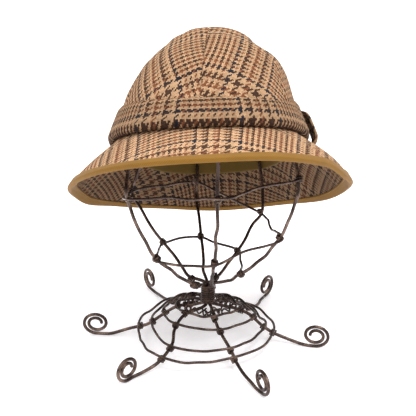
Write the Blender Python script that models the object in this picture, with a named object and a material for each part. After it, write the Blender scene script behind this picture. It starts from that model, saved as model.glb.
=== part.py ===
# A brimmed tweed hat of six gores on a stand of dark twisted wire.
# Metres, +Z up. The hat is worked out in its own frame: its origin is the middle of the head
# opening, +X the wearer's left, -Y the front and +Z up the crown. The stand has its column on
# its Z axis. An empty seats the hat on the stand and another puts the whole on the floor.
from collections import namedtuple
from math import radians

import bmesh
import bpy
import numpy as np
from mathutils import Matrix

# Hat, driving sizes
CROWN_HALF_WIDTH = 0.082
CROWN_HALF_LENGTH = 0.106
CROWN_HEIGHT = 0.101
APEX_RADIUS = 0.0013
TWEED_THICKNESS = 0.0020
SEAM_DEPTH = 0.0011
BRIM_HALF_WIDTH = 0.125
BRIM_HALF_LENGTH = 0.1455
BRIM_DROP = 0.045
BRIM_SAG = (0.4, 1.2)       # how the dip is weighted at the seam, and what it gains to the edge
UNDER_THICKNESS = 0.0016
BAND_HEIGHT = 0.030
BAND_ROLL = 0.0058
BINDING_WIDTH = 0.007
BINDING_THICKNESS = 0.0011
SWEATBAND_HEIGHT = 0.030
SWEATBAND_THICKNESS = 0.0013
SWEATBAND_GAP = 0.0006
TAB_WIDTH = 0.026
TAB_HEIGHT = 0.031
TAB_THICKNESS = 0.0017
TAB_CLEAR = 0.0006
TAB_BULGE = 0.0036
TAB_ANGLE = 96
GORES = 6
GAP = 0.0003

# How the hat sits on the stand: the front tipped up, one side higher, turned a little
HAT_SEAT = (0.0012, 0.020, 0.184)
HAT_TILT = 26
HAT_ROLL = 1.8
HAT_TURN = 4

# Stand, driving sizes
FRAME_WIRE = 0.0025
WEB_WIRE = 0.0019
BUNDLE_RADIUS = 0.0032
COLUMN_FOOT = 0.033
COLUMN_TOP = 0.056
COIL_FOOT = 0.0380
COIL_TOP = 0.0545
COIL_PITCH = 0.0024
COIL_CLEAR = 0.0005
LEG_REACH = 0.110
LEG_FLAT = 0.006
FOOT_RADIUS = 0.0109
FOOT_TURNS = 1.75
FOOT_PITCH = 0.0038
FOOT_WIDE = 1.16
CAGE_RADIUS = 0.0974
CAGE_OVAL = 1.07
CAGE_LEAN = 0.284
CAGE_HEIGHT = 0.130
CAGE_CUT = 0.028
RIB_INSET = 0.0012
RIB_CLEAR = 0.00075

# Faces round each wire and along each curve
WIRE_SIDES = 5
ROUND_STEPS = 48
GORE_ROWS = 12
TAB_STEPS = (6, 9)
COIL_STEPS = 9
FOOT_STEP = 36

# The crown from its seam, 0, to its top, 1: shares of its height, half-width and half-length,
# and how far the middle of the section has moved to the wearer's left, a share of the width
Section = namedtuple("Section", "along height width length shift")
CROWN_SECTIONS = (
    Section(0.00, 0.000, 1.000, 1.000, 0.000),
    Section(0.10, 0.130, 0.988, 0.988, 0.000),
    Section(0.20, 0.262, 0.962, 0.962, 0.008),
    Section(0.30, 0.382, 0.918, 0.915, 0.018),
    Section(0.40, 0.503, 0.858, 0.850, 0.032),
    Section(0.50, 0.625, 0.788, 0.772, 0.045),
    Section(0.60, 0.737, 0.680, 0.675, 0.055),
    Section(0.70, 0.828, 0.560, 0.560, 0.060),
    Section(0.80, 0.903, 0.460, 0.450, 0.062),
    Section(0.90, 0.967, 0.325, 0.315, 0.062),
    Section(1.00, 1.000, 0.000, 0.000, 0.062),
)

# Hollows and bulges of the soft crown: where, how far in (a share of the half-width), and
# their spread round the head in degrees and along the gore
Dent = namedtuple("Dent", "angle along depth spread reach")
CROWN_DENTS = (
    Dent(-13, 0.285, 0.055, 9, 0.060),
    Dent(-8, 0.47, -0.020, 22, 0.110),
    Dent(30, 0.36, 0.018, 10, 0.070),
    Dent(70, 0.70, 0.056, 16, 0.070),
    Dent(78, 0.54, -0.024, 20, 0.080),
    Dent(-80, 0.62, 0.022, 18, 0.080),
    Dent(150, 0.45, 0.030, 22, 0.100),
)

# A gore's columns, shares of its width from seam to seam, and how near its seam it is drawn down
GORE_SHARES = (0, 0.035, 0.13, 0.31, 0.5, 0.69, 0.87, 0.965, 1)
SEAM_REACH = 0.035

# The brim round the head, 0 at the front: how far its edge hangs below the seam, how far its
# middle dips under a straight slope (shares of the drop), and the seam's own height
BrimRow = namedtuple("BrimRow", "angle edge dip seam")
BRIM_ROWS = (
    BrimRow(-150, 0.905, 0.05, 0.00),
    BrimRow(-125, 0.925, 0.00, 0.00),
    BrimRow(-105, 0.990, -0.09, 0.00),
    BrimRow(-90, 0.925, -0.11, 0.00),
    BrimRow(-70, 0.890, -0.06, 0.00),
    BrimRow(-50, 0.850, -0.02, -0.03),
    BrimRow(-30, 0.825, 0.02, -0.07),
    BrimRow(0, 0.825, 0.01, -0.10),
    BrimRow(30, 0.785, -0.02, -0.07),
    BrimRow(52, 0.800, -0.06, -0.02),
    BrimRow(70, 0.930, -0.12, 0.00),
    BrimRow(90, 0.935, -0.13, 0.00),
    BrimRow(120, 1.000, -0.05, 0.00),
    BrimRow(150, 0.940, 0.02, 0.00),
    BrimRow(180, 0.965, 0.04, 0.00),
)

# The band from its folded hem under the roll to its top: height (share of the band's height)
# and how far it stands off the crown (share of the roll)
BandRow = namedtuple("BandRow", "height stand")
BAND_ROWS = (
    BandRow(0.060, 0.30),
    BandRow(0.030, 0.75),
    BandRow(0.150, 1.00),
    BandRow(0.340, 0.70),
    BandRow(0.640, 0.32),
    BandRow(1.000, 0.00),
)
# The band's height round the head: angle, share of BAND_HEIGHT
BAND_CREST = ((-180, 1.15), (-90, 1.10), (-40, 0.78), (0, 0.62), (40, 0.67), (95, 1.12))

# The brim's rows from seam to edge, and where its under layer starts
BRIM_SHARES = (0, 0.22, 0.58, 1)
UNDER_START = 0.03

# The low edge of the tab and of the sweatband, shares of their heights, and the bow of the
# tab's outline between its two ends
TAB_FOOT = 0.05
TAB_BOW = 0.8
SWEATBAND_FOOT = 0.02

# Legs: direction in degrees from +X, reach (share of LEG_REACH), how far the wire strays
# sideways in degrees at its first and last web ring, and where the four rings cross it
# (shares of its reach)
Leg = namedtuple("Leg", "name turn reach hook swing ring_1 ring_2 ring_3 ring_4")
LEGS = (
    Leg("front_right", 294, 1.014, -8, -3, 0.200, 0.325, 0.500, 0.580),
    Leg("front_left", 229.6, 0.968, -21, 6, 0.230, 0.350, 0.555, 0.680),
    Leg("left", 177.8, 0.965, -8, -1, 0.270, 0.385, 0.490, 0.610),
    Leg("back_left", 120.3, 1.110, 2, 2, 0.245, 0.360, 0.467, 0.550),
    Leg("back_right", 55.5, 0.974, -5, -9, 0.260, 0.365, 0.460, 0.550),
    Leg("right", 347.9, 0.923, 5, 3, 0.300, 0.420, 0.520, 0.605),
)

# Along a leg, shares of its reach: where its middle line is set out from the foot to the
# bundle, where it has turned to its own direction, where it runs low and where it is straight
LEG_STOPS = (0.86, 0.74, 0.62, 0.50, 0.38, 0.26, 0.16, 0.09, 0.055)
LEG_SETTLED = 0.16
LEG_LOW = 0.80
LEG_STRAIGHT = 0.93

# Heights of a leg, shares of COLUMN_FOOT: where it leaves the bundle, where it runs low and
# where it stands upright in the column; and the points on the foot's flat, shares of LEG_FLAT
LEG_TOP = 1.08
LEG_LOW_HEIGHT = 0.12
LEG_UPRIGHT = 1.17
FLAT_STOPS = (0.3, 0.65, 1)

# The rings of the web: the leg's height under each (share of COLUMN_FOOT) and how far a span
# bows out between two legs (share of the straight span's distance from the column)
WebRing = namedtuple("WebRing", "height bow")
WEB_RINGS = (
    WebRing(0.91, 0.05),
    WebRing(0.71, 0.07),
    WebRing(0.44, 0.08),
    WebRing(0.29, 0.12),
)

# Ribs of the cage, each the leg's wire carried on: direction in degrees from +X
Rib = namedtuple("Rib", "name turn")
RIBS = (
    Rib("front", 274.6),
    Rib("front_left", 225.8),
    Rib("back_left", 150.9),
    Rib("back", 98.8),
    Rib("back_right", 42.8),
    Rib("front_right", 323.0),
)
BUNDLE_TURN = (290, 230, 170, 110, 50, 350)

# Points along a rib: up the cage, shares of CAGE_HEIGHT, with the share where it has turned to
# its own direction, then up the sweatband, shares of its height, and on up the crown
CAGE_STOPS = (0.0, 0.03, 0.07, 0.13, 0.20, 0.29, 0.40, 0.54, 0.69, 0.85, 1.0, 1.16)
CAGE_SETTLED = 0.10
MOUTH_STOPS = (0.05, 0.5, 1.0)
LINING_STOPS = (0.42, 0.53, 0.64, 0.75, 0.85, 0.93)

# The cage's outline above the column: height (share of CAGE_HEIGHT), radius (share of
# CAGE_RADIUS)
CAGE_OUTLINE = ((0.00, 0.000), (0.02, 0.130), (0.06, 0.230), (0.146, 0.375), (0.30, 0.630),
                (0.49, 0.825), (0.72, 0.968), (0.95, 1.000), (1.35, 1.000))

# Where the cage's one long web wire is tied to the ribs: the rib's place in RIBS and the
# height above the column, a share of CAGE_HEIGHT
CAGE_TIES = ((5, 0.138), (4, 0.146), (3, 0.19), (2, 0.21), (1, 0.313), (0, 0.36), (5, 0.452),
             (4, 0.36), (3, 0.50), (2, 0.53), (1, 0.76), (0, 0.83), (5, 0.86))

TWEED_COLOUR = (0.30, 0.17, 0.09, 1)
BINDING_COLOUR = (0.36, 0.23, 0.05, 1)
SWEATBAND_COLOUR = (0.33, 0.25, 0.10, 1)
WIRE_COLOUR = (0.07, 0.05, 0.045, 1)


def material(name, colour, roughness, metallic):
    # A Principled material of one colour
    made = bpy.data.materials.new(name)
    made.use_nodes = True
    shader = made.node_tree.nodes["Principled BSDF"]
    shader.inputs["Base Color"].default_value = colour
    shader.inputs["Roughness"].default_value = roughness
    shader.inputs["Metallic"].default_value = metallic
    return made


def empty(name, parent=None):
    made = bpy.data.objects.new(name, None)
    bpy.context.collection.objects.link(made)
    made.parent = parent
    return made


def solid(name, points, faces, finish, parent):
    # One closed body from its points and faces, with the faces turned outwards
    mesh = bpy.data.meshes.new(name)
    mesh.from_pydata(np.asarray(points).tolist(), [], faces)
    work = bmesh.new()
    work.from_mesh(mesh)
    bmesh.ops.recalc_face_normals(work, faces=work.faces)
    work.to_mesh(mesh)
    work.free()
    mesh.shade_smooth()
    mesh.set_sharp_from_angle(angle=radians(50))
    mesh.materials.append(finish)
    made = bpy.data.objects.new(name, mesh)
    bpy.context.collection.objects.link(made)
    made.parent = parent
    return made


def smooth(xs, ys, x):
    # A monotone cubic through the points (xs, ys), held level outside them
    xs = np.asarray(xs, float)
    ys = np.asarray(ys, float)
    x = np.clip(np.asarray(x, float), xs[0], xs[-1])
    step = np.diff(xs)
    slope = np.diff(ys) / step
    inner = np.where(slope[:-1] * slope[1:] > 0,
                     2 * slope[:-1] * slope[1:] / (slope[:-1] + slope[1:] + 1e-30), 0)
    bend = np.concatenate([slope[:1], inner, slope[-1:]])
    i = np.clip(np.searchsorted(xs, x, side="right") - 1, 0, len(step) - 1)
    t = (x - xs[i]) / step[i]
    return (ys[i] * (1 + 2 * t) * (1 - t) ** 2 + ys[i + 1] * t * t * (3 - 2 * t)
            + step[i] * (bend[i] * t * (1 - t) ** 2 + bend[i + 1] * t * t * (t - 1)))


def around(angles, values, angle):
    # The same cubic through a table that goes once round the head
    angles = np.asarray(angles, float)
    values = np.asarray(values, float)
    turned = np.concatenate([angles - 360, angles, angles + 360])
    wrapped = (np.asarray(angle, float) + 180) % 360 - 180
    return smooth(turned, np.tile(values, 3), wrapped)


def curve(points, steps, closed=False):
    # A Catmull-Rom curve through the points, with that many steps to each span
    points = np.asarray(points, float)
    if closed:
        ends = np.vstack([points[-1:], points, points[:2]])
    else:
        ends = np.vstack([2 * points[0] - points[1], points, 2 * points[-1] - points[-2]])
    t = (np.arange(steps) / steps)[:, None]
    spans = [0.5 * (2 * b + (c - a) * t + (2 * a - 5 * b + 4 * c - d) * t ** 2
                    + (3 * b - a - 3 * c + d) * t ** 3)
             for a, b, c, d in zip(ends[:-3], ends[1:-2], ends[2:-1], ends[3:])]
    if not closed:
        spans.append(points[-1:])
    return np.vstack(spans)


def unit(vectors):
    return vectors / np.linalg.norm(vectors, axis=-1, keepdims=True)


def crown_section(along):
    # Height, half-width, half-length and shift of the crown's section
    table = np.array(CROWN_SECTIONS)
    height, width, length, shift = (smooth(table[:, 0], table[:, i], along) for i in (1, 2, 3, 4))
    return (height * CROWN_HEIGHT, APEX_RADIUS + width * (CROWN_HALF_WIDTH - APEX_RADIUS),
            APEX_RADIUS + length * (CROWN_HALF_LENGTH - APEX_RADIUS), shift * CROWN_HALF_WIDTH)


def crown_point(angle, along):
    # The crown's outer face before its seams are drawn in: an oval at each height, pushed in
    # or out by the dents
    angle, along = np.broadcast_arrays(np.asarray(angle, float), np.asarray(along, float))
    height, width, length, shift = crown_section(along)
    push = np.ones_like(angle)
    for dent in CROWN_DENTS:
        turn = (angle - dent.angle + 180) % 360 - 180
        push = push - dent.depth * np.exp(-0.5 * (turn / dent.spread) ** 2
                                          - 0.5 * ((along - dent.along) / dent.reach) ** 2)
    turn = np.radians(angle)
    return np.stack([shift + push * width * np.sin(turn), -push * length * np.cos(turn), height],
                    axis=-1)


def crown_normal(angle, along):
    # Outward normals, from the surface's slopes round and along the gore
    small = 0.5
    tiny = 0.004
    low = np.clip(np.asarray(along, float) - tiny, 0, 1)
    high = np.clip(np.asarray(along, float) + tiny, 0, 1)
    side = crown_point(angle + small, along) - crown_point(angle - small, along)
    rise = crown_point(angle, high) - crown_point(angle, low)
    return unit(np.cross(side, rise))


def wall_point(angle, height, out):
    # A point near the crown's lower wall: at a height over the seam, so far out from the wall
    table = np.array(CROWN_SECTIONS)
    height = np.asarray(height, float)
    fine = np.linspace(0, 0.5, 200)
    rise = smooth(table[:, 0], table[:, 1], fine) * CROWN_HEIGHT
    along = np.interp(np.maximum(height, 0), rise, fine)
    normal = crown_normal(angle, along) * (1, 1, 0)
    point = crown_point(angle, along) + unit(normal) * np.asarray(out, float)[..., None]
    point[..., 2] += np.minimum(height, 0)
    return point


def shell(name, outer, inner, closed, finish, parent):
    # A wall between two grids of points, with its edges closed. Grids that go right round
    # join their last column to their first.
    rows, columns = outer.shape[:2]
    count = rows * columns
    across = columns if closed else columns - 1

    def at(side, row, column):
        return side * count + row * columns + column % columns

    faces = []
    for row in range(rows - 1):
        for column in range(across):
            faces.append((at(0, row, column), at(0, row, column + 1),
                          at(0, row + 1, column + 1), at(0, row + 1, column)))
            faces.append((at(1, row, column), at(1, row + 1, column),
                          at(1, row + 1, column + 1), at(1, row, column + 1)))
    for row in (0, rows - 1):
        for column in range(across):
            faces.append((at(0, row, column), at(1, row, column),
                          at(1, row, column + 1), at(0, row, column + 1)))
    if not closed:
        for column in (0, columns - 1):
            for row in range(rows - 1):
                faces.append((at(0, row, column), at(0, row + 1, column),
                              at(1, row + 1, column), at(1, row, column)))
    points = np.concatenate([outer.reshape(-1, 3), inner.reshape(-1, 3)])
    return solid(name, points, faces, finish, parent)


def sweep(name, rings, closed, finish, parent):
    # A body from outlines that follow each other along a path, with flat ends if it is open
    steps, sides = rings.shape[:2]
    last = steps if closed else steps - 1
    faces = [(step * sides + side, step * sides + (side + 1) % sides,
              (step + 1) % steps * sides + (side + 1) % sides, (step + 1) % steps * sides + side)
             for step in range(last) for side in range(sides)]
    if not closed:
        faces.append(tuple(range(sides))[::-1])
        faces.append(tuple((steps - 1) * sides + side for side in range(sides)))
    return solid(name, rings.reshape(-1, 3), faces, finish, parent)


def wire(name, path, diameter, side, finish, parent, closed=False):
    # A wire along the path. Its outline is carried along without twisting, starts with its
    # flat turned away from side x path, and on a loop the twist left over is spread out.
    ahead = np.roll(path, -1, axis=0) - path
    back = path - np.roll(path, 1, axis=0)
    if not closed:
        ahead[-1] = back[-1]
        back[0] = ahead[0]
    along = unit(unit(ahead) + unit(back))
    across = [unit(side - along[0] * np.dot(side, along[0]))]
    for direction in along[1:]:
        across.append(unit(across[-1] - direction * np.dot(across[-1], direction)))
    across = np.array(across)
    normal = np.cross(along, across)
    twist = np.zeros(len(path))
    if closed:
        ends = unit(across[-1] - along[0] * np.dot(across[-1], along[0]))
        left = np.arctan2(np.dot(ends, normal[0]), np.dot(ends, across[0]))
        twist = -left * np.arange(len(path)) / len(path)
    turn = (np.arange(WIRE_SIDES) + 0.5) * 2 * np.pi / WIRE_SIDES - np.pi / 2
    turn = turn[None, :] + twist[:, None]
    rings = (path[:, None] + diameter / 2 * (np.cos(turn)[..., None] * across[:, None]
                                             + np.sin(turn)[..., None] * normal[:, None]))
    return sweep(name, rings, closed, finish, parent)


def seam_draw(share):
    # How far a gore's edge is drawn down, from its seam, 0, across to the next, 1
    return SEAM_DEPTH * np.exp(-np.minimum(share, 1 - share) / SEAM_REACH)


def crown_panels(finish, parent):
    # Six gores, each its own wall, with their edges drawn down into the seams
    share = np.array(GORE_SHARES)
    draw = seam_draw(share)
    along = np.linspace(0, 1, GORE_ROWS + 1)[:, None]
    span = 360 / GORES
    width = crown_section(along)[1]
    lost = np.degrees(GAP / width)
    for number in range(GORES):
        first = number * span
        angle = first + lost / 2 + share[None, :] * (span - lost)
        outer = crown_point(angle, along)
        normal = crown_normal(angle, along)
        sunk = outer - normal * draw[None, :, None]
        shell(f"crown_panel_{number + 1}", sunk, sunk - normal * TWEED_THICKNESS, False,
              finish, parent)


def brim_point(angle, share, above=0.0):
    # The brim's top face from its seam, 0, to its edge, 1, or so far above or below it
    angle, share = np.broadcast_arrays(np.asarray(angle, float), np.asarray(share, float))

    def face(turned, part):
        table = np.array(BRIM_ROWS)
        edge, dip, seam = (around(table[:, 0], table[:, i], turned) for i in (1, 2, 3))
        turn = np.radians(turned)
        root = wall_point(turned, seam * BRIM_DROP, np.full_like(turned, GAP))
        rim = np.stack([BRIM_HALF_WIDTH * np.sin(turn), -BRIM_HALF_LENGTH * np.cos(turn),
                        -edge * BRIM_DROP], axis=-1)
        point = root + (rim - root) * part[..., None]
        point[..., 2] -= 4 * dip * BRIM_DROP * part * (1 - part) * (BRIM_SAG[0] + BRIM_SAG[1] * part)
        return point

    small = 0.5
    tiny = 0.01
    side = face(angle + small, share) - face(angle - small, share)
    out = face(angle, np.minimum(share + tiny, 1)) - face(angle, np.maximum(share - tiny, 0))
    normal = unit(np.cross(out, side))
    normal = normal * np.sign(normal[..., 2:3])
    return face(angle, share) + normal * above, unit(out), normal


def brim(finish, parent):
    # Two layers of tweed, one over the other, from the crown's seam to the binding
    angle = np.arange(ROUND_STEPS)[None, :] * 360 / ROUND_STEPS
    share = np.array(BRIM_SHARES)[:, None]
    shell("brim_top", brim_point(angle, share)[0], brim_point(angle, share, -TWEED_THICKNESS)[0],
          True, finish, parent)
    start = TWEED_THICKNESS + GAP
    share = np.maximum(share, UNDER_START)
    shell("brim_under", brim_point(angle, share, -start)[0],
          brim_point(angle, share, -start - UNDER_THICKNESS)[0], True, finish, parent)


def binding(finish, parent):
    # A folded strip round the brim's edge. Its outline runs out along the underside of the top
    # lip, round the edge and in along the bottom lip, then back over the outside.
    angle = np.arange(ROUND_STEPS) * 360 / ROUND_STEPS
    deep = TWEED_THICKNESS + GAP + UNDER_THICKNESS
    faces = []
    for above in (0, -deep):
        edge, out, up = brim_point(angle, np.ones(ROUND_STEPS), above)
        inner = brim_point(angle, np.full(ROUND_STEPS, BRIM_SHARES[-2]), above)[0]
        faces.append((edge, unit(edge - inner), up))
    lip = -BINDING_WIDTH
    skin = BINDING_THICKNESS
    nose = GAP + skin
    outline = ((0, lip, GAP), (0, GAP, GAP), (1, GAP, -GAP), (1, lip, -GAP), (1, lip, -nose),
               (1, GAP, -nose), (1, nose, deep / 4), (0, nose, -deep / 4), (0, GAP, nose),
               (0, lip, nose))
    rings = [faces[side][0] + faces[side][1] * out + faces[side][2] * above
             for side, out, above in outline]
    sweep("binding", np.stack(rings, axis=1), True, finish, parent)


def band(finish, parent):
    # The strip round the crown: smooth at its top, and a soft roll over the brim at its foot
    angle = np.arange(ROUND_STEPS)[None, :] * 360 / ROUND_STEPS
    crest = around(*zip(*BAND_CREST), angle)
    rows = np.array(BAND_ROWS)
    brim_table = np.array(BRIM_ROWS)
    seam = around(brim_table[:, 0], brim_table[:, 3], angle) * BRIM_DROP
    height = seam + rows[:, :1] * (BAND_HEIGHT * crest - seam)
    stand = np.broadcast_to(GAP + rows[:, 1:] * BAND_ROLL, height.shape)
    inner = wall_point(angle + 0 * height, height, stand)
    side = np.roll(inner, -1, axis=1) - np.roll(inner, 1, axis=1)
    rise = np.gradient(inner, axis=0)
    normal = unit(np.cross(side, rise))
    shell("band", inner + normal * TWEED_THICKNESS, inner, True, finish, parent)


def side_tab(finish, parent):
    # A loop of cloth on the wearer's left, its two ends close on the band
    half = np.degrees(TAB_WIDTH / 2 / CROWN_HALF_LENGTH)
    rows, columns = TAB_STEPS
    share = np.linspace(-1, 1, columns)[None, :]
    level = np.linspace(TAB_FOOT, 1, rows)[:, None] * TAB_HEIGHT
    angle, level = np.broadcast_arrays(TAB_ANGLE + half * share, level)
    under = np.array(BAND_ROWS)[2:]
    crest = around(*zip(*BAND_CREST), TAB_ANGLE)
    stand = smooth(under[:, 0] * BAND_HEIGHT * crest, under[:, 1] * BAND_ROLL, level)
    bulge = TAB_BULGE * (1 - share ** 2) ** TAB_BOW
    out = 2 * GAP + TWEED_THICKNESS + TAB_CLEAR + stand + bulge
    shell("side_tab", wall_point(angle, level, out + TAB_THICKNESS),
          wall_point(angle, level, out), False, finish, parent)


def sweatband(finish, parent):
    # The strip inside the head opening, close on the gores
    angle = np.arange(ROUND_STEPS)[None, :] * 360 / ROUND_STEPS
    height = np.array([SWEATBAND_FOOT, 1])[:, None] * SWEATBAND_HEIGHT + 0 * angle
    start = -(TWEED_THICKNESS + SEAM_DEPTH + SWEATBAND_GAP)
    outer = wall_point(angle + 0 * height, height, np.full_like(height, start))
    inner = wall_point(angle + 0 * height, height,
                       np.full_like(height, start - SWEATBAND_THICKNESS))
    shell("sweatband", outer, inner, True, finish, parent)


def polar(turn, radius, height):
    # Points round the stand's axis: direction in degrees, distance and height
    turn = np.radians(np.asarray(turn, float))
    return np.stack(np.broadcast_arrays(radius * np.cos(turn), radius * np.sin(turn), height),
                    axis=-1)


def leg_floor():
    # Height of the wire's middle where its flat side lies on the floor
    return FRAME_WIRE / 2 * np.cos(np.pi / WIRE_SIDES)


def leg_point(leg, bundle, share):
    # A leg's middle line: out of the bundle, down through its web ties and along the floor
    share = np.asarray(share, float)
    reach = leg.reach * LEG_REACH
    start = BUNDLE_RADIUS / reach
    at = [start, *leg[5:], LEG_LOW, 1 - LEG_FLAT / reach]
    rise = [LEG_TOP, *(ring.height for ring in WEB_RINGS), LEG_LOW_HEIGHT]
    height = smooth(at, np.append(np.array(rise) * COLUMN_FOOT, leg_floor()), share)
    settle = np.clip((share - start) / (LEG_SETTLED - start), 0, 1)
    off = (leg.turn - bundle + 180) % 360 - 180
    stray = smooth((start, leg.ring_1, leg.ring_3, leg.ring_4, LEG_STRAIGHT),
                   (0, leg.hook, leg.swing, leg.swing, 0), share)
    turn = bundle + off * settle * settle * (3 - 2 * settle) + stray
    return polar(turn, share * reach, height)


def leg_wires(finish, parent):
    # Each leg: a curled foot on the floor, a rising run and the end held in the column
    meet = (COLUMN_FOOT + COLUMN_TOP) / 2
    for number, leg in enumerate(LEGS):
        reach = leg.reach * LEG_REACH
        turns = np.radians(np.arange(FOOT_TURNS * 360, -1, -FOOT_STEP))
        radius = FOOT_RADIUS - FOOT_PITCH * turns / (2 * np.pi)
        foot = polar(leg.turn, reach + FOOT_WIDE * radius * np.sin(turns),
                     leg_floor() + FOOT_RADIUS - radius * np.cos(turns))
        flat = polar(leg.turn, reach - LEG_FLAT * np.array(FLAT_STOPS), leg_floor())
        bundle = BUNDLE_TURN[number]
        run = leg_point(leg, bundle, np.array([*LEG_STOPS, BUNDLE_RADIUS / reach]))
        rise = polar(bundle, BUNDLE_RADIUS,
                     np.array([COLUMN_FOOT * LEG_UPRIGHT, meet - GAP / 2]))
        path = np.vstack([foot, flat, run, rise])
        side = np.array([np.sin(np.radians(leg.turn)), -np.cos(np.radians(leg.turn)), 0])
        wire(f"leg_wire_{leg.name}", path, FRAME_WIRE, side, finish, parent)


def web_rings(finish, parent):
    # Rings of thinner wire that lie on the legs and bow out from one leg to the next
    lift = (FRAME_WIRE + WEB_WIRE) / 2 + 2 * GAP
    order = sorted(range(len(LEGS)), key=lambda item: LEGS[item].turn)
    for number, ring in enumerate(WEB_RINGS):
        ties = []
        for index in order:
            leg = LEGS[index]
            share = leg[5 + number]
            here = leg_point(leg, BUNDLE_TURN[index], share)
            slope = unit(leg_point(leg, BUNDLE_TURN[index], share + 0.01) - here)
            side = np.array([-here[1], here[0], 0])
            ties.append(here + unit(np.cross(slope, side)) * lift)
        ties = np.array(ties)
        middle = (ties + np.roll(ties, -1, axis=0)) / 2 * (1 + ring.bow, 1 + ring.bow, 1)
        middle[:, 2] -= lift / 2
        points = np.stack([ties, middle], axis=1).reshape(-1, 3)
        wire(f"web_ring_{number + 1}", curve(points, 2, closed=True), WEB_WIRE,
             np.array([0, 0, 1.0]), finish, parent, closed=True)


def seat_matrix():
    # The hat's place on the stand
    matrix = Matrix.Translation(HAT_SEAT)
    for degrees, axis in ((HAT_TILT, "X"), (HAT_ROLL, "Y"), (HAT_TURN, "Z")):
        matrix = matrix @ Matrix.Rotation(radians(-degrees), 4, axis)
    return matrix


def to_hat(points):
    matrix = np.array(seat_matrix().inverted())
    return points @ matrix[:3, :3].T + matrix[:3, 3]


def from_hat(points):
    matrix = np.array(seat_matrix())
    return points @ matrix[:3, :3].T + matrix[:3, 3]


def cage_point(rib, bundle, rise):
    # A rib's middle line under the hat: an oval cage that leans back with its height
    rise = np.asarray(rise, float)
    at, size = np.array(CAGE_OUTLINE).T
    radius = BUNDLE_RADIUS + smooth(at, size, rise) * (CAGE_RADIUS - BUNDLE_RADIUS)
    settle = np.clip(rise / CAGE_SETTLED, 0, 1)
    off = (rib.turn - bundle + 180) % 360 - 180
    turn = bundle + off * settle * settle * (3 - 2 * settle)
    oval = 1 + (CAGE_OVAL - 1) * settle
    point = polar(turn, radius, COLUMN_TOP + rise * CAGE_HEIGHT)
    point[..., 1] = point[..., 1] * oval + CAGE_LEAN * rise * CAGE_HEIGHT
    return point


def rib_path(rib, bundle):
    # From the column up the cage, in at the head opening and up the inside of the crown
    meet = (COLUMN_FOOT + COLUMN_TOP) / 2
    start = polar(bundle, BUNDLE_RADIUS, np.array([meet + GAP / 2, COIL_TOP - COIL_PITCH]))
    cage = cage_point(rib, bundle, np.array(CAGE_STOPS))
    cage = cage[to_hat(cage)[:, 2] < -CAGE_CUT]
    entry = to_hat(cage[-1:])[0]
    angle = np.degrees(np.arctan2(entry[0] / CROWN_HALF_WIDTH, -entry[1] / CROWN_HALF_LENGTH))
    inside = (TWEED_THICKNESS + SEAM_DEPTH + SWEATBAND_GAP + SWEATBAND_THICKNESS + GAP
              + FRAME_WIRE / 2)
    height = np.array(MOUTH_STOPS) * SWEATBAND_HEIGHT
    mouth = wall_point(np.full_like(height, angle), height,
                       np.full_like(height, -inside - RIB_INSET))
    along = np.array(LINING_STOPS)
    draw = seam_draw((angle * GORES / 360) % 1)
    depth = draw + TWEED_THICKNESS + RIB_CLEAR + FRAME_WIRE / 2
    lining = crown_point(angle, along) - crown_normal(angle, along) * depth
    return np.vstack([start, cage, from_hat(np.vstack([mouth, lining]))])


def rib_wires(finish, parent):
    for rib, bundle in zip(RIBS, BUNDLE_TURN):
        path = curve(rib_path(rib, bundle), 1)
        side = np.array([np.sin(radians(bundle)), -np.cos(radians(bundle)), 0])
        wire(f"rib_wire_{rib.name}", path, FRAME_WIRE, side, finish, parent)


def cage_wire(finish, parent):
    # One wire that winds up round the outside of the ribs
    lift = (FRAME_WIRE + WEB_WIRE) / 2 + GAP
    ties = []
    for index, rise in CAGE_TIES:
        here = cage_point(RIBS[index], BUNDLE_TURN[index], rise)
        slope = unit(cage_point(RIBS[index], BUNDLE_TURN[index], rise + 0.01) - here)
        side = np.array([-np.sin(radians(RIBS[index].turn)), np.cos(radians(RIBS[index].turn)), 0])
        ties.append(here + unit(np.cross(side, slope)) * lift)
    ties = np.array(ties)
    middle = (ties[1:] + ties[:-1]) / 2
    points = np.vstack([np.stack([ties[:-1], middle], axis=1).reshape(-1, 3), ties[-1:]])
    wire("cage_wire", curve(points, 2), WEB_WIRE, np.array([0, 0, 1.0]), finish, parent)


def coil_wrap(finish, parent):
    # The binding of the column: a close coil round the six legs and ribs
    radius = BUNDLE_RADIUS + (FRAME_WIRE + WEB_WIRE) / 2 + COIL_CLEAR
    turns = (COIL_TOP - COIL_FOOT) / COIL_PITCH
    share = np.linspace(0, 1, round(turns * COIL_STEPS))
    path = polar(share * turns * 360, radius, COIL_FOOT + share * (COIL_TOP - COIL_FOOT))
    wire("coil_wrap", path, WEB_WIRE, np.array([0, 0, 1.0]), finish, parent)


def rest_on_floor(root):
    # Moves the whole so that the middle of its lowest plane is the origin
    bpy.context.view_layer.update()
    corners = np.vstack([np.array([item.matrix_world @ vertex.co for vertex in item.data.vertices])
                         for item in bpy.context.scene.objects if item.type == "MESH"])
    low = corners.min(axis=0)
    high = corners.max(axis=0)
    root.location = (-(low[0] + high[0]) / 2, -(low[1] + high[1]) / 2, -low[2])


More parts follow.
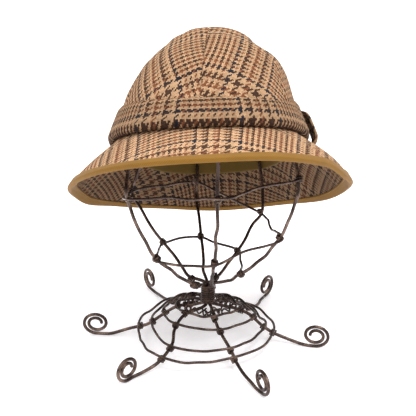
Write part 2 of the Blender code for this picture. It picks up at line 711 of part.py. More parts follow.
def build():
    for item in list(bpy.data.objects):
        bpy.data.objects.remove(item, do_unlink=True)
    tweed = material("tweed", TWEED_COLOUR, 0.95, 0.0)
    twill = material("binding_twill", BINDING_COLOUR, 0.85, 0.0)
    lining = material("sweatband_twill", SWEATBAND_COLOUR, 0.85, 0.0)
    bronze = material("bronze_wire", WIRE_COLOUR, 0.42, 0.85)
    root = empty("hat_and_stand")
    hat = empty("hat_seat", root)
    hat.matrix_local = seat_matrix()
    crown_panels(tweed, hat)
    brim(tweed, hat)
    binding(twill, hat)
    band(tweed, hat)
    side_tab(tweed, hat)
    sweatband(lining, hat)
    leg_wires(bronze, root)
    web_rings(bronze, root)
    rib_wires(bronze, root)
    cage_wire(bronze, root)
    coil_wrap(bronze, root)
    rest_on_floor(root)


build()
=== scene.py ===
import bpy
import numpy as np
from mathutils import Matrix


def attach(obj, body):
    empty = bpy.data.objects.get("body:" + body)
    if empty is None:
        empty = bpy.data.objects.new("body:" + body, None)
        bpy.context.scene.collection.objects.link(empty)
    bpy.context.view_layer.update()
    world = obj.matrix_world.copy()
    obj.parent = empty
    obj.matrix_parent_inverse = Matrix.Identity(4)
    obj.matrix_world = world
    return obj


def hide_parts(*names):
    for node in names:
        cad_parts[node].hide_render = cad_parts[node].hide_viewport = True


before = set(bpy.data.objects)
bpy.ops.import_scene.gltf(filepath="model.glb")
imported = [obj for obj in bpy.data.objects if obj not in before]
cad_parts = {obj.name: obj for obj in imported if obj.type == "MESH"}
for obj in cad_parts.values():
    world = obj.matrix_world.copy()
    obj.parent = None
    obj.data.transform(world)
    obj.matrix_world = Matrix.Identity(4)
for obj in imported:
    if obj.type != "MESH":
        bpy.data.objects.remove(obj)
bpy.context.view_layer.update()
print("frame loaded,", len(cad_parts), "nodes")


# how the hat sits on the stand, in degrees and metres
seat = {
    "place": (0.0012, 0.020, 0.184),
    "tilt": 26,                     # front tipped up
    "roll": 1.8,                    # one side higher
    "turn": 4,
    "floorShift": (-0.002509, -0.002451, 0.000007),     # from the stand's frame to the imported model's
}

cloth = {
    "thick": 0.0020,                # tweed
    "underThick": 0.0016,           # the brim's lower layer
    "gap": 0.0003,                  # left between neighbours
    "yarn": 0.00118,                # width of one yarn in the weave
}

crown = {
    "halfWidth": 0.082,
    "halfLength": 0.106,
    "height": 0.101,
    "apexRadius": 0.0004,
    "seamDepth": 0.0011,
    "gores": 6,
    # from the head seam to the top: along, height, half-width, half-length, shift to the left
    "sections": ((0.0, 0.000, 1.000, 1.000, 0.000), (0.1, 0.130, 0.988, 0.988, 0.000),
                 (0.2, 0.262, 0.962, 0.962, 0.008), (0.3, 0.382, 0.918, 0.915, 0.018),
                 (0.4, 0.503, 0.858, 0.850, 0.032), (0.5, 0.625, 0.788, 0.772, 0.045),
                 (0.6, 0.737, 0.680, 0.675, 0.055), (0.7, 0.828, 0.560, 0.560, 0.060),
                 (0.8, 0.903, 0.460, 0.450, 0.062), (0.9, 0.967, 0.325, 0.315, 0.062),
                 (1.0, 1.000, 0.000, 0.000, 0.062)),
    # hollows (and, below zero, bulges): angle, along, depth, spread in degrees, reach
    "dents": ((-13, 0.285, 0.055, 9, 0.060), (-8, 0.47, -0.020, 22, 0.110),
              (30, 0.36, 0.018, 10, 0.070), (70, 0.70, 0.056, 16, 0.070),
              (78, 0.54, -0.024, 20, 0.080), (-80, 0.62, 0.022, 18, 0.080),
              (150, 0.45, 0.030, 22, 0.100)),
    # how each gore's cloth was cut: turn in degrees, shift across and up in metres
    "cuts": ((-25, 0.0350, 0.0056), (12, 0.020, 0.010), (-21, 0.034, 0.018),
             (24, 0.012, 0.030), (-14, 0.041, 0.006), (27, 0.0041, 0.0123)),
}

brim = {
    "halfWidth": 0.125,
    "halfLength": 0.1455,
    "drop": 0.045,
    "pinch": 0.60,                  # how thin the layers are pressed at the edge
    # round the head from the front: angle, edge drop, dip under a straight slope, seam height
    "rows": ((-150, 0.905, 0.05, 0.00), (-125, 0.925, 0.00, 0.00), (-105, 0.990, -0.09, 0.00),
             (-90, 0.925, -0.11, 0.00), (-70, 0.890, -0.06, 0.00), (-50, 0.850, -0.02, -0.03),
             (-30, 0.825, 0.02, -0.07), (0, 0.825, 0.01, -0.10), (30, 0.785, -0.02, -0.07),
             (52, 0.800, -0.06, -0.02), (70, 0.930, -0.12, 0.00), (90, 0.935, -0.13, 0.00),
             (120, 1.000, -0.05, 0.00), (150, 0.940, 0.02, 0.00), (180, 0.965, 0.04, 0.00)),
    "sag": (0.4, 1.2),              # the dip's weight at the seam, and what it gains to the edge
}


def smoothTable(xs, ys, x):
    # monotone cubic: the slope at each point is the harmonic mean of its two neighbours' slopes
    xs, ys = np.asarray(xs, float), np.asarray(ys, float)
    x = np.clip(np.asarray(x, float), xs[0], xs[-1])
    step = np.diff(xs)
    slope = np.diff(ys) / step
    inner = np.where(slope[:-1] * slope[1:] > 0,
                     2 * slope[:-1] * slope[1:] / (slope[:-1] + slope[1:] + 1e-30), 0)
    bend = np.concatenate([slope[:1], inner, slope[-1:]])
    i = np.clip(np.searchsorted(xs, x, side="right") - 1, 0, len(step) - 1)
    t = (x - xs[i]) / step[i]
    return (ys[i] * (1 + 2 * t) * (1 - t) ** 2 + ys[i + 1] * t * t * (3 - 2 * t)
            + step[i] * (bend[i] * t * (1 - t) ** 2 + bend[i + 1] * t * t * (t - 1)))


def wrapped(degrees):
    # the same direction, between -180 and 180
    return (degrees + 180) % 360 - 180


def smoothStep(t):
    # 3 t^2 - 2 t^3, held at 0 before it and at 1 after it
    t = np.clip(t, 0, 1)
    return t * t * (3 - 2 * t)


def roundTable(angles, values, angle):
    # the same cubic through a table that goes once round the head
    angles, values = np.asarray(angles, float), np.asarray(values, float)
    turned = np.concatenate([angles - 360, angles, angles + 360])
    return smoothTable(turned, np.tile(values, 3), wrapped(np.asarray(angle, float)))


def throughPoints(points, steps, closed=False):
    # Catmull-Rom: each span is a cubic through its two ends, steered by their neighbours
    points = np.asarray(points, float)
    if closed:
        ends = np.vstack([points[-1:], points, points[:2]])
    else:
        ends = np.vstack([2 * points[0] - points[1], points, 2 * points[-1] - points[-2]])
    t = (np.arange(steps) / steps)[:, None, None]
    a, b, c, d = ends[:-3], ends[1:-2], ends[2:-1], ends[3:]
    spans = 0.5 * (2 * b + (c - a) * t + (2 * a - 5 * b + 4 * c - d) * t ** 2
                   + (3 * b - a - 3 * c + d) * t ** 3)
    path = spans.transpose(1, 0, 2).reshape(-1, 3)
    return path if closed else np.vstack([path, points[-1:]])


def travelled(path):
    # distance along the path from its start to each point
    return np.concatenate([[0], np.cumsum(np.linalg.norm(np.diff(path, axis=0), axis=1))])


def evenPath(path, spacing):
    # the same path with its points an even distance apart
    far = travelled(path)
    even = np.linspace(0, far[-1], max(int(far[-1] / spacing), 4))
    return np.stack([np.interp(even, far, path[:, i]) for i in range(3)], axis=1)


def unit(vectors):
    return vectors / np.linalg.norm(vectors, axis=-1, keepdims=True)


def ripple(u, v, size, seed):
    # soft uneven waves: five sines of chosen directions and lengths added up, from -1 to 1
    pick = np.random.default_rng(seed)
    turn, phase = pick.uniform(0, np.pi, 5), pick.uniform(0, 2 * np.pi, 5)
    length = size * pick.uniform(0.7, 1.6, 5)
    wave = [np.sin(2 * np.pi * (u * np.cos(a) + v * np.sin(a)) / l + p)
            for a, l, p in zip(turn, length, phase)]
    return np.sum(wave, axis=0) / 5


def turnMatrix(axis, degrees):
    c, s = np.cos(np.radians(degrees)), np.sin(np.radians(degrees))
    return np.array({"x": ((1, 0, 0), (0, c, -s), (0, s, c)),
                     "y": ((c, 0, s), (0, 1, 0), (-s, 0, c)),
                     "z": ((c, -s, 0), (s, c, 0), (0, 0, 1))}[axis])


hatTurn = (turnMatrix("x", -seat["tilt"]) @ turnMatrix("y", -seat["roll"])
           @ turnMatrix("z", -seat["turn"]))
floorShift = np.array(seat["floorShift"])


def onStand(points):
    # from the hat's own frame to the stand's
    return points @ hatTurn.T + seat["place"]


def onFloor(points):
    # from the hat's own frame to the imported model's
    return onStand(points) + floorShift


def intoHat(points):
    # from the stand's frame to the hat's own
    return (points - seat["place"]) @ hatTurn


def addMesh(name, points, faces, corners=None):
    # a mesh from points and faces, with a cloth coordinate for each face corner if it has one;
    # where the volume comes out negative every face is turned round
    a, b, c = points[faces[:, 0]], points[faces[:, 1]], points[faces[:, 2]]
    volume = (a * np.cross(b, c)).sum()
    if faces.shape[1] == 4:
        volume += (a * np.cross(c, points[faces[:, 3]])).sum()
    if volume < 0:
        faces = faces[:, ::-1]
        corners = None if corners is None else corners[:, ::-1]
    mesh = bpy.data.meshes.new(name)
    mesh.from_pydata(points.tolist(), [], faces.tolist())
    if corners is not None:
        mesh.uv_layers.new(name="weave").data.foreach_set("uv", corners.reshape(-1))
    mesh.shade_smooth()
    mesh.update()
    piece = bpy.data.objects.new(name, mesh)
    bpy.context.collection.objects.link(piece)
    return piece


def wall(name, outer, inner, weave, closed=False):
    # a thick sheet: two grids of points, rows by columns, joined round their edges. A grid that
    # goes right round joins its last column to its first, and weave has one column more.
    rows, columns = outer.shape[:2]
    across = columns if closed else columns - 1
    r, c = np.indices((rows - 1, across)).reshape(2, -1)
    q, e = np.arange(across), np.arange(rows - 1)

    def quads(*four):
        # each corner is side, row, column
        return np.stack([np.stack(np.broadcast_arrays(*corner), axis=-1) for corner in four], axis=1)

    top = rows - 1
    parts = [quads((0, r, c), (0, r, c + 1), (0, r + 1, c + 1), (0, r + 1, c)),
             quads((1, r, c), (1, r + 1, c), (1, r + 1, c + 1), (1, r, c + 1)),
             quads((0, 0, q + 1), (0, 0, q), (1, 0, q), (1, 0, q + 1)),
             quads((0, top, q), (0, top, q + 1), (1, top, q + 1), (1, top, q))]
    if not closed:
        last = columns - 1
        parts += [quads((0, e, 0), (0, e + 1, 0), (1, e + 1, 0), (1, e, 0)),
                  quads((0, e + 1, last), (0, e, last), (1, e, last), (1, e + 1, last))]
    where = np.concatenate(parts)
    side, row, column = where[..., 0], where[..., 1], where[..., 2]
    faces = side * rows * columns + row * columns + column % columns
    points = np.concatenate([outer.reshape(-1, 3), inner.reshape(-1, 3)])
    return addMesh(name, points, faces, weave[row, column])


def carried(path, closed=False):
    # frames along a path: each across direction is the last one with its forward part taken off,
    # and on a loop what is left over is spread out evenly
    ahead = np.roll(path, -1, axis=0) - path
    back = path - np.roll(path, 1, axis=0)
    if not closed:
        ahead[-1], back[0] = back[-1], ahead[0]
    along = unit(unit(ahead) + unit(back))
    start = np.array([0, 0, 1.0]) if abs(along[0, 2]) < 0.9 else np.array([1.0, 0, 0])
    across = [unit(start - along[0] * (start @ along[0]))]
    for direction in along[1:]:
        across.append(unit(across[-1] - direction * (across[-1] @ direction)))
    across = np.array(across)
    up = np.cross(along, across)
    if closed:
        end = unit(across[-1] - along[0] * (across[-1] @ along[0]))
        twist = -np.arctan2(end @ up[0], end @ across[0]) * np.linspace(0, 1, len(path))[:, None]
        across, up = (np.cos(twist) * across + np.sin(twist) * up,
                      np.cos(twist) * up - np.sin(twist) * across)
    return along, across, up


def tubeGrid(path, radius, sides, closed=False):
    # a round outline carried along the path; the radius may change along it
    along, across, up = carried(path, closed)
    turn = np.arange(sides) / sides * 2 * np.pi
    radius = np.broadcast_to(radius, len(path))[:, None, None]
    return path[:, None] + radius * (np.cos(turn)[None, :, None] * across[:, None]
                                     + np.sin(turn)[None, :, None] * up[:, None])


def tubeFaces(steps, sides, closed, offset=0):
    # squares between each ring of points and the next
    r, c = np.indices((steps if closed else steps - 1, sides)).reshape(2, -1)
    nextR, nextC = (r + 1) % steps, (c + 1) % sides
    return offset + np.stack([r * sides + c, r * sides + nextC, nextR * sides + nextC,
                              nextR * sides + c], axis=1)


def tubes(name, paths, radius, sides, closed=False):
    # one or more tubes in one piece; an open one closes in to a rounded end
    points, faces, base = [], [], 0
    for path in paths:
        if closed:
            grid = tubeGrid(path, radius, sides, True)
        else:
            ends = unit(path[0] - path[1]), unit(path[-1] - path[-2])
            path = np.vstack([path[0] + ends[0] * radius * 0.5, path[0] + ends[0] * radius * 0.35,
                              path, path[-1] + ends[1] * radius * 0.35,
                              path[-1] + ends[1] * radius * 0.5])
            size = np.full(len(path), float(radius))
            size[[0, -1]], size[[1, -2]] = radius * 0.02, radius * 0.65
            grid = tubeGrid(path, size, sides)
        points.append(grid.reshape(-1, 3))
        faces.append(tubeFaces(len(grid), sides, closed, base))
        if not closed:
            ring = np.arange(sides // 2 - 1)
            cap = np.stack([ring, ring + 1, sides - 2 - ring, sides - 1 - ring], axis=1)
            faces += [base + cap[:, ::-1], base + (len(grid) - 1) * sides + cap]
        base += grid.shape[0] * sides
    return addMesh(name, np.concatenate(points), np.concatenate(faces))


def crownPoint(angle, along):
    # an oval at each height, shrunk or swelled by the dents: shift + push * width * sin(angle),
    # -push * length * cos(angle), height
    angle, along = np.broadcast_arrays(np.asarray(angle, float), np.asarray(along, float))
    table = np.array(crown["sections"])
    height, width, length, shift = (smoothTable(table[:, 0], values, along) for values in table.T[1:])
    tip = crown["apexRadius"]
    push = np.ones_like(angle)
    for dentAngle, dentAlong, depth, spread, reach in crown["dents"]:
        turn = wrapped(angle - dentAngle)
        push = push - depth * np.exp(-0.5 * (turn / spread) ** 2
                                     - 0.5 * ((along - dentAlong) / reach) ** 2)
    turn = np.radians(angle)
    x = shift * crown["halfWidth"] + push * (tip + width * (crown["halfWidth"] - tip)) * np.sin(turn)
    y = -push * (tip + length * (crown["halfLength"] - tip)) * np.cos(turn)
    return np.stack([x, y, height * crown["height"]], axis=-1)


def crownNormal(angle, along):
    # square to the slopes round and along the crown
    low, high = np.clip(along - 0.004, 0, 1), np.clip(along + 0.004, 0, 1)
    side = crownPoint(angle + 0.5, along) - crownPoint(angle - 0.5, along)
    return unit(np.cross(side, crownPoint(angle, high) - crownPoint(angle, low)))


def wallPoint(angle, height, out):
    # a point near the crown's lower wall, at a height over the seam and so far out from it
    table = np.array(crown["sections"])
    fine = np.linspace(0, 0.5, 200)
    rise = smoothTable(table[:, 0], table[:, 1], fine) * crown["height"]
    angle, height, out = np.broadcast_arrays(angle, height, out)
    along = np.interp(np.maximum(height, 0), rise, fine)
    point = crownPoint(angle, along) + unit(crownNormal(angle, along) * (1, 1, 0)) * out[..., None]
    point[..., 2] += np.minimum(height, 0)
    return point


def brimPoint(angle, share, above=0.0):
    # from the crown's seam, share 0, in a shallow sagging slope to the brim's edge, share 1
    angle, share = np.broadcast_arrays(np.asarray(angle, float), np.asarray(share, float))
    table = np.array(brim["rows"])
    atSeam, gained = brim["sag"]

    def face(turned, part):
        edge, dip, seam = (roundTable(table[:, 0], table[:, i], turned) for i in (1, 2, 3))
        turn = np.radians(turned)
        root = wallPoint(turned, seam * brim["drop"], cloth["gap"])
        rim = np.stack([brim["halfWidth"] * np.sin(turn), -brim["halfLength"] * np.cos(turn),
                        -edge * brim["drop"]], axis=-1)
        point = root + (rim - root) * part[..., None]
        point[..., 2] -= 4 * dip * brim["drop"] * part * (1 - part) * (atSeam + gained * part)
        return point

    side = face(angle + 0.5, share) - face(angle - 0.5, share)
    out = face(angle, np.minimum(share + 0.01, 1)) - face(angle, np.maximum(share - 0.01, 0))
    normal = unit(np.cross(out, side))
    normal = normal * np.sign(normal[..., 2:3])
    return face(angle, share) + normal * np.asarray(above, float)[..., None], unit(out), normal


def pinch(share):
    # the layers thin out in a smooth step over the last fifth of the brim
    return brim["pinch"] + (1 - brim["pinch"]) * smoothStep((1 - share) / 0.2)


def looped(grid):
    # a grid that goes right round, with its first column again at its end
    return np.concatenate([grid, grid[:, :1]], axis=1)


def lengths(grid, axis):
    # distance travelled along the rows or columns of a grid
    step = np.linalg.norm(np.diff(grid, axis=axis), axis=-1)
    pad = [(0, 0), (0, 0)]
    pad[axis] = (1, 0)
    return np.pad(np.cumsum(step, axis=axis), pad)


def asCloth(piece, material, node, grid, closed=False):
    # the piece takes its material, rides on the body and stands for its node; the grid is only looped when
    # it goes round and is not used further
    piece.data.materials.append(material)
    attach(piece, "root")
    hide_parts(node)
    grid = looped(grid) if closed else grid


def newMaterial(name):
    made = bpy.data.materials.new(name)
    made.use_nodes = True
    tree = made.node_tree
    return made, tree, tree.nodes["Principled BSDF"]


def feed(tree, node, inputs):
    # a node's inputs by name or number: a socket is linked, a value is set
    for key, value in inputs.items():
        if isinstance(value, bpy.types.NodeSocket):
            tree.links.new(value, node.inputs[key])
        else:
            node.inputs[key].default_value = value


def add(tree, kind, inputs=(), **settings):
    # one node with its settings and its inputs
    node = tree.nodes.new("ShaderNode" + kind)
    for key, value in settings.items():
        setattr(node, key, value)
    feed(tree, node, dict(inputs))
    return node


def sums(tree, operation, *values):
    # a Math node, as one value
    return add(tree, "Math", dict(enumerate(values)), operation=operation).outputs[0]


def mixColour(tree, fac, a, b, blend="MIX"):
    return add(tree, "Mix", {0: fac, 6: a, 7: b}, data_type="RGBA", blend_type=blend).outputs[2]


def noise(tree, vector, scale, detail, roughness=0.5, output=0):
    # cloudy noise from 0 to 1; output 1 is three of them as a colour
    return add(tree, "TexNoise", {"Vector": vector, "Scale": scale, "Detail": detail,
                                  "Roughness": roughness}).outputs[output]


def relief(tree, shader, height, strength, distance):
    # the surface raised by a height
    bump = add(tree, "Bump", {"Height": height, "Strength": strength, "Distance": distance})
    feed(tree, shader, {"Normal": bump.outputs[0]})


def srgb(red, green, blue):
    # picture values of 0 to 255 as the linear colour that shows them
    share = np.array([red, green, blue]) / 255
    return (*np.where(share <= 0.04045, share / 12.92, ((share + 0.055) / 1.055) ** 2.4).tolist(), 1.0)


tweed = {
    "tan": srgb(206, 166, 128),
    "brown": srgb(68, 45, 36),
    "rust": srgb(132, 80, 54),
    "navy": srgb(24, 34, 48),
    # yarns in order, the same for warp and weft: a coarse check, a fine check and navy lines
    "order": [("navy", 3), ("tan", 4), ("brown", 4), ("tan", 4), ("rust", 4), ("tan", 4),
              ("brown", 4), ("tan", 5), ("navy", 3)]
             + [("tan", 2), ("rust", 2), ("tan", 2), ("brown", 2)] * 4
             + [("tan", 2), ("rust", 2), ("tan", 3)],
    "waver": 0.95,                  # how far a yarn strays, in yarns
    "drift": 1.6,                   # slow bends of the whole weave, in yarns
    "fuzz": 0.20,
    "round": 0.50,                  # painted shade: how much darker a yarn's sides are drawn
    "sheen": 0.05,
    # the cloth's tone in each copy: the crown's own; darker copies for the band and the brim's lower layer,
    # a painted shade; a lighter copy for the brim's top, a painted light
    "paintedLightAndShadeTones": {"brushedTweed": 0.72, "bandTweedPaintedShade": 0.55, "brimTweedPaintedLight": 0.84, "underTweedPaintedShade": 0.37},
}


def tweedMaterial(name, toneWithPaintedLight):
    # 2/2 twill: warp i shows over weft j where (i - j) mod 4 is under 2, and each yarn takes its
    # colour from its place in the order
    made, tree, shader = newMaterial(name)
    weave = add(tree, "UVMap", uv_map="weave").outputs[0]
    bent = weave
    for scale, detail, roughness, far in ((0.035, 2.0, 0.5, tweed["drift"]),
                                          (0.8, 4.0, 0.65, tweed["waver"])):
        stray = noise(tree, weave, scale, detail, roughness, output=1)
        stray = add(tree, "VectorMath", {0: stray, 1: (0.5,) * 3}, operation="SUBTRACT").outputs[0]
        bent = add(tree, "VectorMath", {0: stray, 1: (far,) * 3, 2: bent},
                   operation="MULTIPLY_ADD").outputs[0]
    split = add(tree, "SeparateXYZ", {0: bent})
    total = sum(count for colour, count in tweed["order"])
    yarns = []
    for place in (split.outputs[0], split.outputs[1]):
        index = sums(tree, "FLOOR", place)
        inOrder = sums(tree, "FLOORED_MODULO", index, float(total))
        ramp = add(tree, "ValToRGB")
        ramp.color_ramp.interpolation = "CONSTANT"
        stops = ramp.color_ramp.elements
        before = 0
        for number, (colour, count) in enumerate(tweed["order"]):
            stop = stops[number] if number < 2 else stops.new(before / total)
            stop.position = before / total
            stop.color = tweed[colour]
            before += count
        inOrder = sums(tree, "DIVIDE", sums(tree, "ADD", inOrder, 0.75), float(total))
        tree.links.new(inOrder, ramp.inputs[0])
        shade = add(tree, "TexWhiteNoise", {"W": index}, noise_dimensions="1D").outputs[0]
        yarns.append((index, ramp.outputs[0], shade, sums(tree, "FRACT", place)))
    (warp, warpColour, warpShade, warpIn), (weft, weftColour, weftShade, weftIn) = yarns
    step = sums(tree, "FLOORED_MODULO", sums(tree, "SUBTRACT", warp, weft), 4.0)
    over = sums(tree, "LESS_THAN", step, 1.5)
    colour = mixColour(tree, over, weftColour, warpColour)
    shade = add(tree, "Mix", {0: over, 2: weftShade, 3: warpShade}).outputs[0]
    # brushed fibres: a fine grain that lightens and darkens, and tan hairs over the dark yarns
    fibre = noise(tree, weave, 2.6, 4.0, 0.7)
    patch = noise(tree, weave, 0.22, 3.0)
    hairs = add(tree, "MapRange", {0: fibre, 1: 0.52, 2: 0.68}).outputs[0]
    colour = mixColour(tree, sums(tree, "MULTIPLY", hairs, tweed["fuzz"]), colour, tweed["tan"])
    # relief: each yarn is round across its width, and the same height paints its sides darker, a painted
    # shade
    lift = []
    for inside in (weftIn, warpIn):
        off = sums(tree, "MULTIPLY_ADD", inside, 2.0, -1.0)
        lift.append(sums(tree, "SUBTRACT", 1.0, sums(tree, "MULTIPLY", off, off)))
    height = add(tree, "Mix", {0: over, 2: lift[0], 3: lift[1]}).outputs[0]
    # the level starts from the copy's tone: painted shade for the band and the brim's lower layer, painted
    # light for the brim's top
    level = toneWithPaintedLight
    # the yarn's height darkens the colour along its sides: painted shade
    for part, gain, least in ((shade, 0.40, 0.72), (fibre, 1.3, 0.36), (patch, 0.5, 0.76),
                              (height, tweed["round"], 1.12 - tweed["round"])):
        level = sums(tree, "MULTIPLY", level, sums(tree, "MULTIPLY_ADD", part, gain, least))
    grey = add(tree, "CombineColor", {0: level, 1: level, 2: level}).outputs[0]
    relief(tree, shader, sums(tree, "MULTIPLY_ADD", fibre, 1.2, height), 0.75, 0.00022)
    feed(tree, shader, {"Base Color": mixColour(tree, 1.0, colour, grey, "MULTIPLY"),
                        "Roughness": sums(tree, "MULTIPLY_ADD", fibre, 0.2, 0.78),
                        "Specular IOR Level": 0.08, "Sheen Weight": tweed["sheen"],
                        "Sheen Roughness": 0.5, "Sheen Tint": srgb(235, 205, 165)})
    return made


# light, dark and the width of one diagonal rib in yarns
twill = {
    "binding": (srgb(140, 100, 30), srgb(100, 68, 18), 1.6),
    "lining": (srgb(116, 92, 40), srgb(84, 64, 26), 1.3),
}


def twillMaterial(name, light, dark, ribEvery):
    # fine diagonal ribs, u + v in steps of one rib, with a slow change of shade
    made, tree, shader = newMaterial(name)
    weave = add(tree, "UVMap", uv_map="weave").outputs[0]
    split = add(tree, "SeparateXYZ", {0: weave})
    slant = sums(tree, "ADD", split.outputs[0], split.outputs[1])
    slant = sums(tree, "MULTIPLY", slant, 2 * np.pi / ribEvery)
    rib = sums(tree, "MULTIPLY_ADD", sums(tree, "SINE", slant), 0.5, 0.5)
    grain = noise(tree, weave, 1.8, 4.0)
    slow = noise(tree, weave, 0.06, 2.0)
    blend = sums(tree, "ADD", sums(tree, "MULTIPLY", grain, 0.45), sums(tree, "MULTIPLY", slow, 0.4))
    blend = sums(tree, "ADD", sums(tree, "MULTIPLY", rib, 0.35), blend)
    relief(tree, shader, sums(tree, "MULTIPLY_ADD", grain, 0.6, rib), 0.5, 0.00012)
    feed(tree, shader, {"Base Color": mixColour(tree, sums(tree, "SUBTRACT", blend, 0.1), light, dark),
                        "Roughness": sums(tree, "MULTIPLY_ADD", grain, 0.25, 0.6),
                        "Specular IOR Level": 0.2, "Sheen Weight": 0.06})
    return made


wireLook = {
    "dark": srgb(64, 50, 44),
    "worn": srgb(150, 126, 112),
}


def wireMaterial():
    # dark coating, thinner and paler in small patches, with a soft uneven shine
    made, tree, shader = newMaterial("bronzeWire")
    place = add(tree, "TexCoord").outputs["Object"]
    coarse, fine = noise(tree, place, 90.0, 4.0), noise(tree, place, 900.0, 3.0)
    worn = add(tree, "MapRange", {0: coarse, 1: 0.48, 2: 0.72}).outputs[0]
    worn = sums(tree, "MULTIPLY", worn, 0.6)
    relief(tree, shader, fine, 0.25, 0.00008)
    feed(tree, shader, {"Base Color": mixColour(tree, worn, wireLook["dark"], wireLook["worn"]),
                        "Roughness": sums(tree, "MULTIPLY_ADD", fine, 0.20, 0.18),
                        "Metallic": 0.75})
    return made


def threadMaterial():
    # mustard thread with a fine grain
    made, tree, shader = newMaterial("mustardThread")
    place = add(tree, "TexCoord").outputs["Object"]
    grain = noise(tree, place, 2500.0, 3.0)
    relief(tree, shader, grain, 0.4, 0.0001)
    feed(tree, shader, {"Base Color": mixColour(tree, grain, srgb(120, 88, 34), srgb(172, 136, 66)),
                        "Roughness": 0.6})
    return made


# lit and shaded copies of one tweed: painted shade on the band and the brim's lower layer, painted light on
# the brim's top
tweedCloth, bandClothPaintedShade, brimClothPaintedLight, underClothPaintedShade = (
    tweedMaterial(name, toneWithPaintedLight) for name, toneWithPaintedLight in tweed["paintedLightAndShadeTones"].items())
bindingCloth = twillMaterial("bindingTwill", *twill["binding"])
liningCloth = twillMaterial("liningTwill", *twill["lining"])
wireFinish = wireMaterial()
threadLook = threadMaterial()
print("materials made")


crownLook = {
    "columns": 49,
    "rows": 121,
    "wrinkle": 0.00055,
    "pucker": 0.00030,
    "seamGap": 0.00002,
}


def seamDraw(share):
    # the edge of a gore rolls down into its seam, steeply at the last
    near = np.minimum(share, 1 - share)
    return crown["seamDepth"] * (0.62 * np.exp(-near / 0.035) + 0.38 * np.exp(-near / 0.008))


def gore(number):
    # one panel of the crown, its columns closer together near its two seams
    share = 0.5 - 0.5 * np.cos(np.pi * np.linspace(0, 1, crownLook["columns"]))
    share = 0.35 * np.linspace(0, 1, crownLook["columns"]) + 0.65 * share
    along = np.linspace(0, 1, crownLook["rows"])[:, None]
    table = np.array(crown["sections"])
    width = np.maximum(smoothTable(table[:, 0], table[:, 2], along), 0.02) * crown["halfWidth"]
    span = 360 / crown["gores"]
    lost = np.degrees(crownLook["seamGap"] / width)
    angle = number * span + lost / 2 + share[None, :] * (span - lost)
    flat = crownPoint(angle, along)
    normal = crownNormal(angle, along)
    middle = crownLook["columns"] // 2
    u = lengths(flat, 1) - lengths(flat, 1)[:, middle:middle + 1]
    v = lengths(flat[:, middle:middle + 1], 0) + 0 * u
    near = np.minimum(share, 1 - share)[None, :]
    wave = crownLook["wrinkle"] * ripple(u, v, 0.022, 20 + number) * np.clip(near / 0.08, 0, 1)
    wave = wave + crownLook["pucker"] * np.sin(v * 2 * np.pi / 0.006 + number) * np.exp(-near / 0.05)
    wave = wave * np.clip((1 - along) / 0.1, 0, 1)
    outer = flat + normal * (wave - seamDraw(share)[None, :])[..., None]
    # the cloth flattened: a row further up a cone bends upward as the square of its distance out
    radius = lengths(flat, 1)[:, -1:] / np.radians(span)
    taper = -np.gradient(radius[:, 0]) / np.maximum(np.gradient(v[:, middle]), 1e-6)
    v = v + np.clip(taper, -0.5, 1.2)[:, None] * u ** 2 / (2 * np.maximum(radius, 0.01))
    turn, acrossShift, upShift = crown["cuts"][number]
    c, s = np.cos(np.radians(turn)), np.sin(np.radians(turn))
    weave = np.stack([c * u + s * v + acrossShift, c * v - s * u + upShift], axis=-1) / cloth["yarn"]
    inner = outer - normal * cloth["thick"]
    piece = wall(f"crownPanel{number + 1}", onFloor(outer), onFloor(inner), weave)
    asCloth(piece, tweedCloth, f"crown_panel_{number + 1}", outer)


for number in range(crown["gores"]):
    gore(number)
print("crown made")


brimLook = {
    "columns": 288,
    "rows": 30,
    "wrinkle": 0.00035,
    "seed": 5,
    "underStart": 0.03,             # share of the brim where the lower layer begins
    "yarnScale": 0.96,              # the brim's cloth is drawn a little closer than the crown's
    "across": 0.0055,               # where the weave starts, across and up
    "up": 0.0826,
}


def layer(name, node, material, top, thick, start):
    # one layer of the brim; its weave runs straight from front to back
    angle = np.arange(brimLook["columns"])[None, :] * 360 / brimLook["columns"]
    share = np.linspace(start, 1, brimLook["rows"])[:, None]
    x, y = brimPoint(angle, share)[0][..., 0], brimPoint(angle, share)[0][..., 1]
    wave = brimLook["wrinkle"] * ripple(x, y, 0.03, brimLook["seed"])
    wave = wave * np.clip((1 - share) / 0.2, 0, 1) * np.clip(share / 0.1, 0, 1)
    outer = brimPoint(angle, share, top * pinch(share) + wave)[0]
    inner = brimPoint(angle, share, (top - thick) * pinch(share) + wave)[0]
    slope = lengths(outer, 0)
    turn = np.radians(angle)
    spread = outer[:1, :, :2] + slope[..., None] * np.stack([np.sin(turn), -np.cos(turn)], axis=-1)
    weave = (spread + (brimLook["across"], brimLook["up"])) / (cloth["yarn"] * brimLook["yarnScale"])
    piece = wall(name, onFloor(outer), onFloor(inner), looped(weave), True)
    asCloth(piece, material, node, outer, True)


# the top layer's tweed is painted lighter, a painted light, and the lower layer's darker, a painted shade
layer("brimTop", "brim_top", brimClothPaintedLight, 0.0, cloth["thick"], 0.0)
layer("brimUnder", "brim_under", underClothPaintedShade, -cloth["thick"] - cloth["gap"], cloth["underThick"],
      brimLook["underStart"])

bindingLook = {
    "width": 0.0062,
    "skin": 0.0006,
    "puff": 0.0003,
    "columns": 480,
    "outerRows": 25,                # the outline's rows that show: over, round the nose and under
    "stitchEvery": 0.0026,
    "stitchLong": 0.0019,
    "stitchThick": 0.00036,
    "stitchIn": 0.0011,             # from the strip's inner edge
}
brimDeep = cloth["thick"] + cloth["gap"] + cloth["underThick"]


